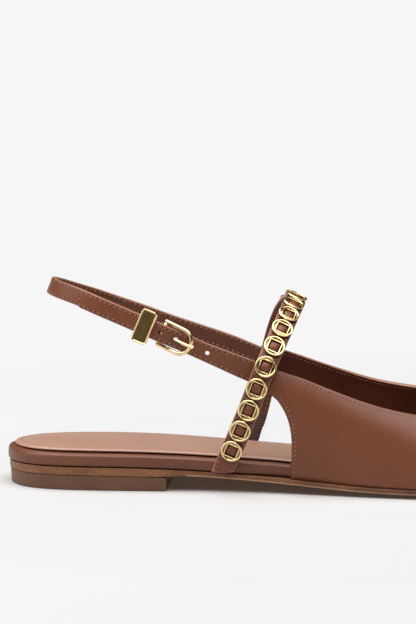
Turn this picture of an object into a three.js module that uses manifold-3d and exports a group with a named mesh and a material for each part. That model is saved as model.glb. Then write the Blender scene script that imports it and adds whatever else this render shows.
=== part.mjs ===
// A slingback ballet flat for the right foot, in millimetres. +X runs from the heel to the toe, +Y to
// the inner side of the foot and +Z up from the floor. A low heel and a leather outsole carry a
// wrapped midsole, a padded insole and a hollow vamp with a wing on each side. A strap runs round the
// heel from the inner wing to a buckle, a second one with holes runs from the outer wing through the
// buckle and a keeper, and a studded strap crosses the instep down to an elastic on the inner side.
import * as THREE from "three";
import { mergeVertices } from "three/addons/utils/BufferGeometryUtils.js";
import Module from "manifold-3d";

const wasm = await Module();
wasm.setup();

// Sole
const length = 263;
const ballWidth = 79;
const heelLift = 5.3;
const heelLength = 65;
const heelTaper = 0.6;
const outsoleThickness = 3.3;
const outsoleEdge = 2;
const bevelWidth = 5;
const bevelFade = 8;
const toeSpring = 7;
const midsoleThickness = 5.4;
const midsoleForeThickness = 3;
const midsoleLip = 0.7;
const midsoleRound = 1;
const lipFades = { from: 0.25, to: 0.34 };
const midsoleTuck = { from: 14, to: 4 };
const midsoleToeRoom = 3.5;
const toeRoomFrom = 0.86;
const insoleThickness = 1.2;
const insoleInset = 2.9;
const insoleTuck = 30;
const insoleCrown = 0.35;
const insoleSoftEdge = 0.8;
const insoleInsideUpper = 1;
const gap = 0.3;

// Upper
const wall = 1.6;
const featherInset = 0.6;
const instepHeight = 84;

// Straps
const strapThickness = 1.9;
const strapWidth = 6.9;
const strapFlare = 1.4;
const loopBack = 17;
const loopHeight = 78.2;
const loopLean = 21;
const tipLength = 80.8;
const crossWidth = 8.4;
const crossThickness = 1.7;
const crossBehindTongue = 10.047;
const crossReach = 27.3;
const crossHeight = 72.6;
const crossLean = 22.7;
const goreWidth = 7.6;
const goreThickness = 1.2;
const goreHeight = 10.5;
const goreLap = 7;

// Buckle, keeper and studs
const wire = 1.6;
const buckleFromEnd = 45.4;
const buckleReach = 13.6;
const buckleLift = 1;
const buckleSideRoom = 0.5;
const barWidth = 1.4;
const barDepth = 0.5;
const eyePlay = 0.25;
const eyeWall = 0.8;
const slotReach = 3.8;
const prongWidth = 1.1;
const holeRadius = 0.9;
const holeSpacing = 6.6;
const holeCount = 5;
const holesBehindProng = 2;
const prongToHole = 6;
const keeperWidth = 6.4;
const keeperHeight = 13.5;
const keeperPlate = 1.3;
const keeperBand = 1;
const keeperFromBar = 6.8;
const keeperRound = 1.6;
const keeperBandInset = 1;
const tipRound = 2.4;
const strapCorner = 0.35;
const studDiameter = 8.5;
const studThickness = 1.3;
const studWindow = 4.5;
const studPitch = 8.75;
const firstStud = 10.4;
const studEnd = 8;

// Plan of the outsole. at: share of length from the heel. outer, inner: half widths on the two sides
// of the foot, shares of ballWidth.
const plan = [
  { at: 0.008, outer: 0.120, inner: 0.120 },
  { at: 0.034, outer: 0.243, inner: 0.243 },
  { at: 0.075, outer: 0.309, inner: 0.309 },
  { at: 0.140, outer: 0.333, inner: 0.335 },
  { at: 0.220, outer: 0.336, inner: 0.324 },
  { at: 0.300, outer: 0.334, inner: 0.294 },
  { at: 0.370, outer: 0.351, inner: 0.277 },
  { at: 0.450, outer: 0.395, inner: 0.309 },
  { at: 0.560, outer: 0.466, inner: 0.404 },
  { at: 0.670, outer: 0.509, inner: 0.472 },
  { at: 0.750, outer: 0.494, inner: 0.483 },
  { at: 0.830, outer: 0.412, inner: 0.430 },
  { at: 0.900, outer: 0.285, inner: 0.323 },
  { at: 0.950, outer: 0.165, inner: 0.222 },
  { at: 0.985, outer: 0.055, inner: 0.132 },
];
const tipAcross = 0.051;

// Rise of the sole along the foot. heel: share of the heel's height that is left. spring: share of
// toeSpring. fore: share of the change to the thin forepart of the midsole.
const rise = [
  { at: 0.00, heel: 1.000, spring: 0.00, fore: 0 },
  { at: 0.17, heel: 0.995, spring: 0.00, fore: 0 },
  { at: 0.24, heel: 0.930, spring: 0.00, fore: 0 },
  { at: 0.30, heel: 0.800, spring: 0.00, fore: 0 },
  { at: 0.36, heel: 0.640, spring: 0.00, fore: 0 },
  { at: 0.42, heel: 0.470, spring: 0.00, fore: 0 },
  { at: 0.47, heel: 0.290, spring: 0.00, fore: 0.15 },
  { at: 0.52, heel: 0.130, spring: 0.00, fore: 0.50 },
  { at: 0.57, heel: 0.040, spring: 0.00, fore: 0.80 },
  { at: 0.63, heel: 0.000, spring: 0.00, fore: 1 },
  { at: 0.80, heel: 0.000, spring: 0.00, fore: 1 },
  { at: 0.87, heel: 0.000, spring: 0.13, fore: 1 },
  { at: 0.94, heel: 0.000, spring: 0.50, fore: 1 },
  { at: 1.00, heel: 0.000, spring: 1.00, fore: 1 },
];

// Sections of the last. ridge: height of the ridge above the floor, a share of instepHeight. across:
// place of the ridge, a share of ballWidth. outerFlare, innerFlare: how far each side swells past
// the sole, shares of ballWidth. square: how square the section is, 2 being an ellipse.
const last = [
  { at: 0.370, ridge: 1.000, across: 0.000, outerFlare: 0.060, innerFlare: 0.133, square: 3.0 },
  { at: 0.415, ridge: 0.917, across: 0.000, outerFlare: 0.043, innerFlare: 0.124, square: 3.0 },
  { at: 0.440, ridge: 0.875, across: 0.002, outerFlare: 0.034, innerFlare: 0.110, square: 2.9 },
  { at: 0.490, ridge: 0.765, across: 0.006, outerFlare: 0.017, innerFlare: 0.081, square: 2.8 },
  { at: 0.570, ridge: 0.620, across: 0.011, outerFlare: 0.010, innerFlare: 0.032, square: 2.4 },
  { at: 0.640, ridge: 0.510, across: 0.016, outerFlare: 0.010, innerFlare: 0.018, square: 2.15 },
  { at: 0.715, ridge: 0.423, across: 0.020, outerFlare: 0.010, innerFlare: 0.012, square: 2.05 },
  { at: 0.765, ridge: 0.380, across: 0.025, outerFlare: 0.010, innerFlare: 0.010, square: 2.0 },
  { at: 0.820, ridge: 0.340, across: 0.031, outerFlare: 0.010, innerFlare: 0.010, square: 2.0 },
  { at: 0.880, ridge: 0.303, across: 0.039, outerFlare: 0.010, innerFlare: 0.010, square: 2.0 },
  { at: 0.935, ridge: 0.270, across: 0.045, outerFlare: 0.010, innerFlare: 0.010, square: 2.05 },
  { at: 1.000, ridge: 0.240, across: 0.051, outerFlare: 0.010, innerFlare: 0.010, square: 2.1 },
];
const tuckHeight = 0.45;
const noseShare = 0.05;

// Edges of the upper. at: share of length. up: share of the last's height at that place.
const outerTopline = [
  { at: 0.383, up: 0.597 },
  { at: 0.417, up: 0.586 },
  { at: 0.447, up: 0.593 },
  { at: 0.491, up: 0.606 },
  { at: 0.532, up: 0.611 },
  { at: 0.579, up: 0.628 },
  { at: 0.617, up: 0.661 },
  { at: 0.657, up: 0.720 },
  { at: 0.690, up: 0.820 },
  { at: 0.709, up: 0.935 },
];
const throat = { at: 0.717, up: 1 };
const innerTopline = [
  { at: 0.380, up: 0.600 },
  { at: 0.418, up: 0.614 },
  { at: 0.470, up: 0.634 },
  { at: 0.529, up: 0.668 },
  { at: 0.579, up: 0.714 },
  { at: 0.619, up: 0.780 },
  { at: 0.657, up: 0.850 },
  { at: 0.690, up: 0.925 },
  { at: 0.710, up: 0.978 },
];
const wingEdge = [
  { at: 0.3690, up: 0.477 },
  { at: 0.4000, up: 0.452 },
  { at: 0.4175, up: 0.410 },
  { at: 0.4260, up: 0.358 },
  { at: 0.4320, up: 0.290 },
  { at: 0.4340, up: 0.205 },
  { at: 0.4335, up: 0.100 },
  { at: 0.4310, up: 0.000 },
];

// Where a line up the upper starts on the sole edge and ends on the topline. edge: share of the way
// from the wing to the toe. top: share of the topline, from the wing's tongue to the throat.
const pairing = [
  { edge: 0.00, top: 0.20 },
  { edge: 0.30, top: 0.52 },
  { edge: 0.55, top: 0.76 },
  { edge: 0.80, top: 0.90 },
  { edge: 1.00, top: 1.00 },
];

// Middle line of the heel loop, from the inner wing round the heel to the outer wing. at: share of
// length. across: share of the half width between the wings. up: share of the rise to the heel.
const loop = [
  { at: 0.4000, across: 0.980, up: -0.090 },
  { at: 0.3690, across: 1.000, up: 0.020 },
  { at: 0.3300, across: 1.025, up: 0.154 },
  { at: 0.2840, across: 1.035, up: 0.284 },
  { at: 0.2320, across: 1.020, up: 0.431 },
  { at: 0.1900, across: 0.980, up: 0.565 },
  { at: 0.1480, across: 0.905, up: 0.692 },
  { at: 0.1140, across: 0.760, up: 0.803 },
  { at: 0.0870, across: 0.530, up: 0.893 },
  { at: 0.0690, across: 0.275, up: 0.967 },
  { at: 0.0626, across: 0.000, up: 1.000 },
  { at: 0.0690, across: -0.275, up: 0.993 },
  { at: 0.0870, across: -0.530, up: 0.960 },
  { at: 0.1160, across: -0.735, up: 0.893 },
  { at: 0.1490, across: -0.880, up: 0.789 },
  { at: 0.1950, across: -0.985, up: 0.635 },
  { at: 0.2470, across: -1.030, up: 0.448 },
  { at: 0.3010, across: -1.045, up: 0.247 },
  { at: 0.3430, across: -1.030, up: 0.097 },
  { at: 0.3700, across: -1.000, up: 0.000 },
  { at: 0.4010, across: -0.980, up: -0.104 },
];

// Middle line of the instep strap, from the outer side over the instep to the inner side. up: share
// of its rise. forward: share of crossReach. across: share of the half width outside the wings.
// foot: share of the half width at its foot.
const cross = [
  { up: 0.000, forward: 0.000, across: 0.000, foot: -1.00 },
  { up: 0.100, forward: 0.100, across: -0.050, foot: -0.95 },
  { up: 0.260, forward: 0.260, across: -0.720, foot: -0.28 },
  { up: 0.390, forward: 0.385, across: -0.995, foot: 0 },
  { up: 0.510, forward: 0.492, across: -1.010, foot: 0 },
  { up: 0.630, forward: 0.606, across: -0.985, foot: 0 },
  { up: 0.737, forward: 0.713, across: -0.870, foot: 0 },
  { up: 0.833, forward: 0.813, across: -0.695, foot: 0 },
  { up: 0.907, forward: 0.893, across: -0.485, foot: 0 },
  { up: 0.962, forward: 0.953, across: -0.235, foot: 0 },
  { up: 0.994, forward: 0.994, across: 0.031, foot: 0 },
  { up: 1.000, forward: 0.988, across: 0.200, foot: 0 },
  { up: 0.975, forward: 0.920, across: 0.420, foot: 0 },
  { up: 0.915, forward: 0.820, across: 0.660, foot: 0 },
  { up: 0.820, forward: 0.722, across: 0.860, foot: 0 },
  { up: 0.700, forward: 0.636, across: 0.975, foot: 0 },
  { up: 0.560, forward: 0.562, across: 1.010, foot: 0 },
  { up: 0.400, forward: 0.484, across: 0.975, foot: 0 },
  { up: 0.260, forward: 0.405, across: 0.760, foot: 0.20 },
  { up: 0.140, forward: 0.320, across: 0.330, foot: 0.64 },
  { up: 0.060, forward: 0.260, across: 0.050, foot: 0.95 },
  { up: 0.000, forward: 0.210, across: 0.000, foot: 1.00 },
];

const leather = { color: 0x7a4a35, roughness: 0.55, metalness: 0 };
const wrapped = { color: 0x6f4636, roughness: 0.5, metalness: 0 };
const lining = { color: 0xb98470, roughness: 0.6, metalness: 0 };
const soleLeather = { color: 0x6b4a34, roughness: 0.7, metalness: 0 };
const elastic = { color: 0x4a2a20, roughness: 0.9, metalness: 0 };
const gold = { color: 0xe2bf6a, roughness: 0.2, metalness: 1 };

const lerp = THREE.MathUtils.lerp;
const clamp = THREE.MathUtils.clamp;
const ease = THREE.MathUtils.smoothstep;
const radians = THREE.MathUtils.degToRad;

// A smooth value between the rows of a table, which never passes the rows on either side.
function between(rows, from, to) {
  const slopes = rows.slice(1).map((row, i) => (row[to] - rows[i][to]) / (row[from] - rows[i][from]));
  const tangents = rows.map((_, i) => {
    const before = slopes[Math.max(i - 1, 0)];
    const after = slopes[Math.min(i, slopes.length - 1)];
    return before * after <= 0 ? 0 : (2 * before * after) / (before + after);
  });
  return (value) => {
    const place = clamp(value, rows[0][from], rows.at(-1)[from]);
    const found = rows.findIndex((row, i) => i > 0 && place <= row[from]);
    const i = Math.max(found, 1) - 1;
    const step = rows[i + 1][from] - rows[i][from];
    const t = (place - rows[i][from]) / step;
    const start = rows[i][to] * (1 + 2 * t) * (1 - t) ** 2 + rows[i + 1][to] * t * t * (3 - 2 * t);
    return start + step * (tangents[i] * t * (1 - t) ** 2 - tangents[i + 1] * t * t * (1 - t));
  };
}

// A curve through points with its length known, read by share or by distance along it.
class Route {
  constructor(points) {
    this.curve = new THREE.CatmullRomCurve3(points, false, "centripetal");
    this.curve.arcLengthDivisions = 600;
    this.length = this.curve.getLength();
  }
  point(distance) {
    return this.curve.getPointAt(clamp(distance / this.length, 0, 1));
  }
  tangent(distance) {
    return this.curve.getTangentAt(clamp(distance / this.length, 0, 1));
  }
}

// Triangles collected into one closed body, whose faces are turned outwards at the end.
class Body {
  constructor() {
    this.corners = [];
  }
  triangle(a, b, c) {
    this.corners.push(a, b, c);
  }
  quad(a, b, c, d) {
    this.triangle(a, b, c);
    this.triangle(a, c, d);
  }
  geometry() {
    const loose = new THREE.BufferGeometry().setFromPoints(this.corners);
    const merged = mergeVertices(loose, 1e-4);
    const index = [...merged.index.array];
    const kept = [];
    for (let i = 0; i < index.length; i += 3) {
      const [a, b, c] = index.slice(i, i + 3);
      if (a !== b && b !== c && c !== a) kept.push(a, b, c);
    }
    const volume = signedVolume(merged.attributes.position, kept);
    merged.setIndex(volume < 0 ? kept.reverse() : kept);
    return merged;
  }
}

function signedVolume(position, index) {
  const [a, b, c] = [new THREE.Vector3(), new THREE.Vector3(), new THREE.Vector3()];
  let volume = 0;
  for (let i = 0; i < index.length; i += 3) {
    a.fromBufferAttribute(position, index[i]);
    b.fromBufferAttribute(position, index[i + 1]);
    c.fromBufferAttribute(position, index[i + 2]);
    volume += a.dot(b.cross(c)) / 6;
  }
  return volume;
}

// A body between two sheets of points, closed along the sides and, where asked, at the ends.
function betweenSheets(upper, lower, startOpen, endOpen) {
  const body = new Body();
  const rows = upper.length - 1;
  const columns = upper[0].length - 1;
  for (let i = 0; i < rows; i++) {
    for (let j = 0; j < columns; j++) {
      body.quad(upper[i][j], upper[i + 1][j], upper[i + 1][j + 1], upper[i][j + 1]);
      body.quad(lower[i][j + 1], lower[i + 1][j + 1], lower[i + 1][j], lower[i][j]);
    }
    body.quad(lower[i][0], lower[i + 1][0], upper[i + 1][0], upper[i][0]);
    body.quad(upper[i][columns], upper[i + 1][columns], lower[i + 1][columns], lower[i][columns]);
  }
  for (let j = 0; j < columns; j++) {
    if (!startOpen) body.quad(upper[0][j + 1], lower[0][j + 1], lower[0][j], upper[0][j]);
    if (!endOpen) body.quad(upper[rows][j], lower[rows][j], lower[rows][j + 1], upper[rows][j + 1]);
  }
  return body.geometry();
}

function solid(geometry) {
  const bare = geometry.clone();
  bare.deleteAttribute("normal");
  bare.deleteAttribute("uv");
  const merged = mergeVertices(bare, 1e-4);
  const vertProperties = new Float32Array(merged.attributes.position.array);
  const triVerts = new Uint32Array(merged.index.array);
  return new wasm.Manifold(new wasm.Mesh({ numProp: 3, vertProperties, triVerts }));
}

function geometryOf(manifold) {
  const mesh = manifold.getMesh();
  const geometry = new THREE.BufferGeometry();
  geometry.setAttribute("position", new THREE.BufferAttribute(mesh.vertProperties, 3));
  geometry.setIndex(new THREE.BufferAttribute(mesh.triVerts, 1));
  return geometry;
}

// The plan of the outsole as a closed curve, and its stations from the heel to the toe.
function planPoint(row, side) {
  return new THREE.Vector3(row.at * length, side * row[side < 0 ? "outer" : "inner"] * ballWidth, 0);
}

const planCurve = new THREE.CatmullRomCurve3(
  [
    new THREE.Vector3(0, 0, 0),
    ...plan.map((row) => planPoint(row, -1)),
    new THREE.Vector3(length, tipAcross * ballWidth, 0),
    ...plan.map((row) => planPoint(row, 1)).reverse(),
  ],
  true,
  "centripetal",
);

function sidePoints(side, count) {
  const half = (plan.length + 1) / (2 * plan.length + 2);
  const toShare = (i) => (side < 0 ? half * (i / count) : 1 - half * (i / count));
  return Array.from({ length: count + 1 }, (_, i) => {
    const share = toShare(i) % 1;
    const point = planCurve.getPoint(share);
    const tangent = planCurve.getTangent(share);
    return { point, inward: new THREE.Vector3(-tangent.y, tangent.x, 0) };
  });
}

const denseSides = { "-1": sidePoints(-1, 320), 1: sidePoints(1, 320) };

// Evenly spread stations along one side, closer together round the heel and the toe.
function stationsOf(side, count) {
  const dense = denseSides[side];
  const lengths = [0];
  for (let i = 1; i < dense.length; i++) {
    lengths.push(lengths[i - 1] + dense[i].point.distanceTo(dense[i - 1].point));
  }
  const crowding = 0.62;
  return Array.from({ length: count + 1 }, (_, i) => {
    const even = i / count;
    const share = even - (crowding * Math.sin(2 * Math.PI * even)) / (2 * Math.PI);
    const wanted = share * lengths.at(-1);
    const next = clamp(lengths.findIndex((value) => value >= wanted - 1e-9), 1, dense.length - 1);
    const t = (wanted - lengths[next - 1]) / (lengths[next] - lengths[next - 1]);
    const point = dense[next - 1].point.clone().lerp(dense[next].point, t);
    const inward = dense[next - 1].inward.clone().lerp(dense[next].inward, t).normalize();
    return { point, inward };
  });
}

const heelPart = between(rise, "at", "heel");
const springPart = between(rise, "at", "spring");
const forePart = between(rise, "at", "fore");

function outsoleTop(x) {
  const at = x / length;
  return outsoleThickness + heelPart(at) * (heelLift + gap) + springPart(at) * toeSpring;
}

function midsoleTop(x) {
  const thickness = lerp(midsoleThickness, midsoleForeThickness, forePart(x / length));
  return outsoleTop(x) + gap + thickness;
}

// How far inside the outsole's edge the midsole's edge lies: proud of it at the heel, and inside the
// upper from the wings on.
const upperStart = wingEdge.at(-1).at * length;
const midsoleInsideUpper = featherInset + wall + 2 * gap;

function midsoleInset(x) {
  const rear = -midsoleLip * (1 - ease(x, lipFades.from * length, lipFades.to * length));
  const inside = midsoleInsideUpper * ease(x, upperStart - midsoleTuck.from, upperStart - midsoleTuck.to);
  return rear + inside + midsoleToeRoom * ease(x, toeRoomFrom * length, length);
}

function insoleEdge(x) {
  const loose = insoleInset * (1 - ease(x, upperStart, upperStart + insoleTuck));
  return midsoleInset(x) + Math.max(loose, insoleInsideUpper);
}

// A row of points across the sole between two stations: its insets from each edge, then even steps.
function rowAcross(outer, inner, insets, steps, height) {
  const edge = (station, inset) => station.point.clone().addScaledVector(station.inward, inset);
  const outerPoints = insets.map((inset) => edge(outer, inset));
  const innerPoints = insets.map((inset) => edge(inner, inset));
  const middle = Array.from({ length: steps - 1 }, (_, k) => {
    return outerPoints.at(-1).clone().lerp(innerPoints.at(-1), (k + 1) / steps);
  });
  const points = [...outerPoints, ...middle, ...innerPoints.reverse()];
  const last = points.length - 1;
  points.forEach((point, k) => {
    point.z = height(point.x, Math.min(k, last - k), k / last);
  });
  return points;
}

const soleStations = 38;
const outerStations = stationsOf(-1, soleStations);
const innerStations = stationsOf(1, soleStations);

function plate(insetsAbove, insetsBelow, steps, above, below) {
  const pairs = outerStations.map((outer, i) => [outer, innerStations[i]]);
  const sheet = (insets, height) =>
    pairs.map(([outer, inner]) => rowAcross(outer, inner, insets(outer.point.x), steps, height));
  return betweenSheets(sheet(insetsAbove, above), sheet(insetsBelow, below), true, true);
}

// Leather outsole: full edge over the heel, bevelled underneath in front of it, flat under the ball.
function makeOutsole() {
  const underHeel = (x) => 1 - ease(x, heelLength, heelLength + bevelFade);
  const below = (x, ring) => {
    const full = outsoleTop(x) - outsoleThickness;
    const edge = lerp(outsoleTop(x) - outsoleEdge, full, underHeel(x));
    return ring === 0 ? edge : full;
  };
  const insets = () => [0, bevelWidth];
  return plate(insets, insets, 3, (x) => outsoleTop(x), below);
}

// Low heel under the outsole, tapered towards the floor, with a straight breast.
function makeHeel() {
  const count = 16;
  const crossing = (side, inset) => {
    const moved = denseSides[side].map(({ point, inward }) => point.clone().addScaledVector(inward, inset));
    return new Route(moved.filter((point, i) => point.x <= heelLength && i % 4 === 0));
  };
  const sheet = (inset, height) => {
    const outer = crossing(-1, inset);
    const inner = crossing(1, inset);
    return Array.from({ length: count + 1 }, (_, i) => {
      const share = (i / count) ** 1.25;
      const a = outer.point(share * outer.length);
      const b = inner.point(share * inner.length);
      if (i === count) {
        a.x = heelLength;
        b.x = heelLength;
      }
      return [0, 1 / 3, 2 / 3, 1].map((t) => {
        const point = a.clone().lerp(b, t);
        point.z = height(point.x);
        return point;
      });
    });
  };
  const top = sheet(featherInset / 2, (x) => outsoleTop(x) - outsoleThickness - gap);
  const bottom = sheet(heelTaper, () => 0);
  return betweenSheets(top, bottom, true, false);
}

// Wrapped midsole with a rounded top edge, which goes inside the upper from the wings on.
function makeMidsole() {
  const insets = (x) => [midsoleInset(x), midsoleInset(x) + midsoleRound];
  const above = (x, ring) => midsoleTop(x) - (ring === 0 ? midsoleRound : 0);
  return plate(insets, insets, 2, above, (x) => outsoleTop(x) + gap);
}

// Padded insole, slightly crowned, with a soft edge.
function makeInsole() {
  const insets = (x) => [insoleEdge(x), insoleEdge(x) + insoleSoftEdge];
  const above = (x, ring, share) => {
    const crown = insoleCrown * Math.sin(Math.PI * share) ** 2;
    return midsoleTop(x) + gap + (ring === 0 ? insoleThickness / 2 : insoleThickness + crown);
  };
  return plate(insets, insets, 2, above, (x) => midsoleTop(x) + gap);
}

// The last: a smooth surface over the sole edge, read by its place along the foot and by how far
// round it a point is, from the outer sole edge at 0 over the ridge at 0.5 to the inner edge at 1.
const lastRidge = between(last, "at", "ridge");
const lastAcross = between(last, "at", "across");
const lastOuter = between(last, "at", "outerFlare");
const lastInner = between(last, "at", "innerFlare");
const lastSquare = between(last, "at", "square");
const featherEnd = length - featherInset;

function featherLine(side) {
  const rows = denseSides[side].map(({ point, inward }) => {
    const moved = point.clone().addScaledVector(inward, featherInset);
    return { x: moved.x, y: moved.y };
  });
  const rising = rows.filter((row, i) => i === 0 || row.x > rows[i - 1].x + 1e-6);
  return (x) => {
    const next = clamp(rising.findIndex((row) => row.x >= x), 1, rising.length - 1);
    const { x: x0, y: y0 } = rising[next - 1];
    const { x: x1, y: y1 } = rising[next];
    return lerp(y0, y1, clamp((x - x0) / (x1 - x0), 0, 1));
  };
}

const feather = { "-1": featherLine(-1), 1: featherLine(1) };

function sectionAt(x) {
  const at = x / length;
  const nose = clamp((featherEnd - x) / (noseShare * length), 0, 1);
  const closing = Math.sqrt(Math.max(1 - (1 - nose) ** 2, 0));
  const base = outsoleTop(x) + gap;
  const ridgeY = lerp(tipAcross, lastAcross(at), clamp(nose * 2, 0, 1)) * ballWidth;
  const flare = { "-1": lastOuter(at) * ballWidth * closing, 1: lastInner(at) * ballWidth * closing };
  return {
    base,
    height: (lastRidge(at) * instepHeight - base) * closing,
    ridgeY,
    flare,
    half: {
      "-1": Math.max(ridgeY - feather[-1](x), 0) + flare[-1],
      1: Math.max(feather[1](x) - ridgeY, 0) + flare[1],
    },
    power: 2 / lastSquare(at),
  };
}

function lastPoint(x, round) {
  const section = sectionAt(x);
  const side = round < 0.5 ? -1 : 1;
  const angle = clamp(round, 0, 1) * Math.PI;
  const out = Math.abs(Math.cos(angle)) ** section.power;
  const up = Math.sin(angle) ** section.power;
  const tuck = section.flare[side] * Math.max(1 - up / tuckHeight, 0) ** 2;
  const y = section.ridgeY + side * (section.half[side] * out - tuck);
  return new THREE.Vector3(x, y, section.base + section.height * up);
}

function roundOfUp(x, up, side) {
  const angle = Math.asin(clamp(up, 0, 1) ** (1 / sectionAt(x).power)) / Math.PI;
  return side < 0 ? angle : 1 - angle;
}

function roundOfAcross(x, y) {
  const section = sectionAt(x);
  const side = y < section.ridgeY ? -1 : 1;
  const out = clamp(Math.abs(y - section.ridgeY) / Math.max(section.half[side], 1e-6), 0, 1);
  const angle = Math.acos(out ** (1 / section.power)) / Math.PI;
  return side < 0 ? angle : 1 - angle;
}

// An edge of the upper as a flat curve of places along the foot and rounds of the last.
function edgeCurve(rows, side) {
  const spread = 200;
  const points = rows.map((row) => {
    const x = row.at * length;
    return new THREE.Vector3(x, roundOfUp(x, row.up, side) * spread, 0);
  });
  const route = new Route(points);
  return (share) => {
    const point = route.point(share * route.length);
    return { x: point.x, round: point.y / spread };
  };
}

const wingColumns = 8;
const vampColumns = 23;
const upperRows = 10;
const toeCrowding = 1.55;

function soleEdgePlace(side, share) {
  const dense = denseSides[side].map(({ point, inward }) => {
    return point.clone().addScaledVector(inward, featherInset);
  });
  const ahead = dense.filter((point, i) => point.x >= upperStart && i % 2 === 0);
  const start = new THREE.Vector3(upperStart, feather[side](upperStart), 0);
  const route = new Route([start, ...ahead]);
  const spreadOut = share - (0.25 * Math.sin(Math.PI * share)) / Math.PI + 0.12 * share * (1 - share);
  const point = route.point(spreadOut * route.length);
  return { x: point.x, y: point.y, round: side < 0 ? 0 : 1 };
}

// One line up the upper, from its lower edge to the topline, as points on the last.
function lineUp(low, high) {
  const samples = 120;
  const flatLow = lastPoint(low.x, low.round);
  const flatHigh = lastPoint(high.x, high.round);
  const vamp = ease(low.x, 0.5 * length, 0.68 * length);
  const places = Array.from({ length: samples + 1 }, (_, k) => {
    const t = (k / samples) ** 2;
    const x = lerp(low.x, high.x, t);
    const y = lerp(low.y ?? flatLow.y, flatHigh.y, t);
    return { x, round: k === 0 ? low.round : roundOfAcross(x, y) };
  });
  const points = places.map((place) => lastPoint(place.x, place.round));
  const lengths = [0];
  points.slice(1).forEach((point, k) => lengths.push(lengths[k] + point.distanceTo(points[k])));
  return Array.from({ length: upperRows + 1 }, (_, j) => {
    const t = (j / upperRows) ** lerp(1, toeCrowding, vamp);
    const wanted = t * lengths.at(-1);
    const next = clamp(lengths.findIndex((value) => value >= wanted), 1, samples);
    const part = clamp((wanted - lengths[next - 1]) / (lengths[next] - lengths[next - 1]), 0, 1);
    const overX = lerp(places[next - 1].x, places[next].x, part);
    const overRound = lerp(places[next - 1].round, places[next].round, part);
    const x = lerp(lerp(low.x, high.x, t), overX, vamp);
    const round = lerp(lerp(low.round, high.round, t), overRound, vamp);
    if (j === 0) return flatLow;
    if (j === upperRows) return flatHigh;
    return lastPoint(x, round);
  });
}

const topOf = between(pairing, "edge", "top");

function upperHalf(side) {
  const rows = side < 0 ? outerTopline : innerTopline;
  const topline = edgeCurve([...rows, throat], side);
  const wing = edgeCurve(wingEdge, side);
  const wingLines = Array.from({ length: wingColumns }, (_, k) => {
    const share = k / wingColumns;
    return lineUp(wing(share), topline(share * pairing[0].top));
  });
  const vampLines = Array.from({ length: vampColumns + 1 }, (_, k) => {
    const share = k / vampColumns;
    return lineUp(soleEdgePlace(side, share), topline(topOf(share)));
  });
  return [...wingLines, ...vampLines];
}

// The inner face of the upper: every point of the outer one moved in by the wall.
function movedIn(sheet, distance) {
  const at = (i, j) => sheet[clamp(i, 0, sheet.length - 1)][clamp(j, 0, sheet[0].length - 1)];
  return sheet.map((row, i) =>
    row.map((point, j) => {
      const along = at(i + 1, j).clone().sub(at(i - 1, j));
      const up = at(i, j + 1).clone().sub(at(i, j - 1));
      const inward = up.cross(along).normalize();
      const moved = point.clone().addScaledVector(inward, distance);
      if (j === 0) moved.z = point.z;
      return moved;
    }),
  );
}

// Hollow vamp with its two wings, open on top, at the sides and underneath.
const upperSheet = [...upperHalf(-1), ...upperHalf(1).reverse().slice(1)];

function makeUpper() {
  return betweenSheets(upperSheet, movedIn(upperSheet, wall), false, false);
}

// Directions on a strap: along it, across its width, and out of its face.
function onStrap(route, distance, widthway, face) {
  const origin = route.point(distance);
  const along = route.tangent(distance);
  const across = widthway.clone().addScaledVector(along, -widthway.dot(along)).normalize();
  const out = along.clone().cross(across).multiplyScalar(face);
  return { origin, along, across, out };
}

function placed(frame, along, across, out) {
  return frame.origin
    .clone()
    .addScaledVector(frame.along, along)
    .addScaledVector(frame.across, across)
    .addScaledVector(frame.out, out);
}

// A strap swept along its frames, with softened corners.
function sweep(frames, widths, thickness, settle) {
  const body = new Body();
  const corner = strapCorner;
  const half = thickness / 2;
  const rings = frames.map((frame, i) => {
    const side = widths[i] / 2;
    const section = [
      [-side + corner, -half],
      [side - corner, -half],
      [side, -half + corner],
      [side, half - corner],
      [side - corner, half],
      [-side + corner, half],
      [-side, half - corner],
      [-side, -half + corner],
    ];
    return section.map(([across, out]) => settle(placed(frame, 0, across, out), frame, i));
  });
  const count = rings[0].length;
  for (let i = 0; i + 1 < rings.length; i++) {
    for (let k = 0; k < count; k++) {
      const next = (k + 1) % count;
      body.quad(rings[i][k], rings[i][next], rings[i + 1][next], rings[i + 1][k]);
    }
  }
  for (const [ring, first] of [[rings[0], true], [rings.at(-1), false]]) {
    for (let k = 1; k + 1 < count; k++) {
      if (first) body.triangle(ring[0], ring[k + 1], ring[k]);
      else body.triangle(ring[0], ring[k], ring[k + 1]);
    }
  }
  return body.geometry();
}

const steps = (from, to, count) => Array.from({ length: count + 1 }, (_, i) => lerp(from, to, i / count));
const still = (point) => point;

// The heel loop's middle line, tied to the inside of the two wings.
function outerCorner(row) {
  const x = row.at * length;
  return lastPoint(x, roundOfUp(x, row.up, -1));
}

const tongueTop = outerCorner(outerTopline[0]);
const tongueLow = outerCorner(wingEdge[0]);
const loopHalf = Math.abs(tongueTop.y) - wall - gap - strapThickness / 2;
const tongueHeight = (tongueTop.z + tongueLow.z) / 2;
const heelRow = loop.find((row) => row.across === 0);

function loopPoint(row) {
  const front = loop.at(-2).at;
  const back = (front - row.at) / (front - heelRow.at);
  const x = lerp(front * length, loopBack, back);
  return new THREE.Vector3(x, row.across * loopHalf, lerp(tongueHeight, loopHeight, row.up));
}

const loopRoute = new Route(loop.map(loopPoint));
const loopWidthway = new THREE.Vector3(Math.sin(radians(loopLean)), 0, Math.cos(radians(loopLean)));
const onLoop = (fromEnd) => onStrap(loopRoute, loopRoute.length - fromEnd, loopWidthway, 1);

// How far out of the loop's line the strap with holes lies: over the heel strap behind the buckle's
// bar, and in line with it in front.
const eyeHole = barWidth / 2 + eyePlay;
const eyeRadius = eyeHole + eyeWall;
const overStrap = strapThickness + gap;
const overBar = eyeRadius - barDepth + gap + strapThickness / 2;

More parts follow.
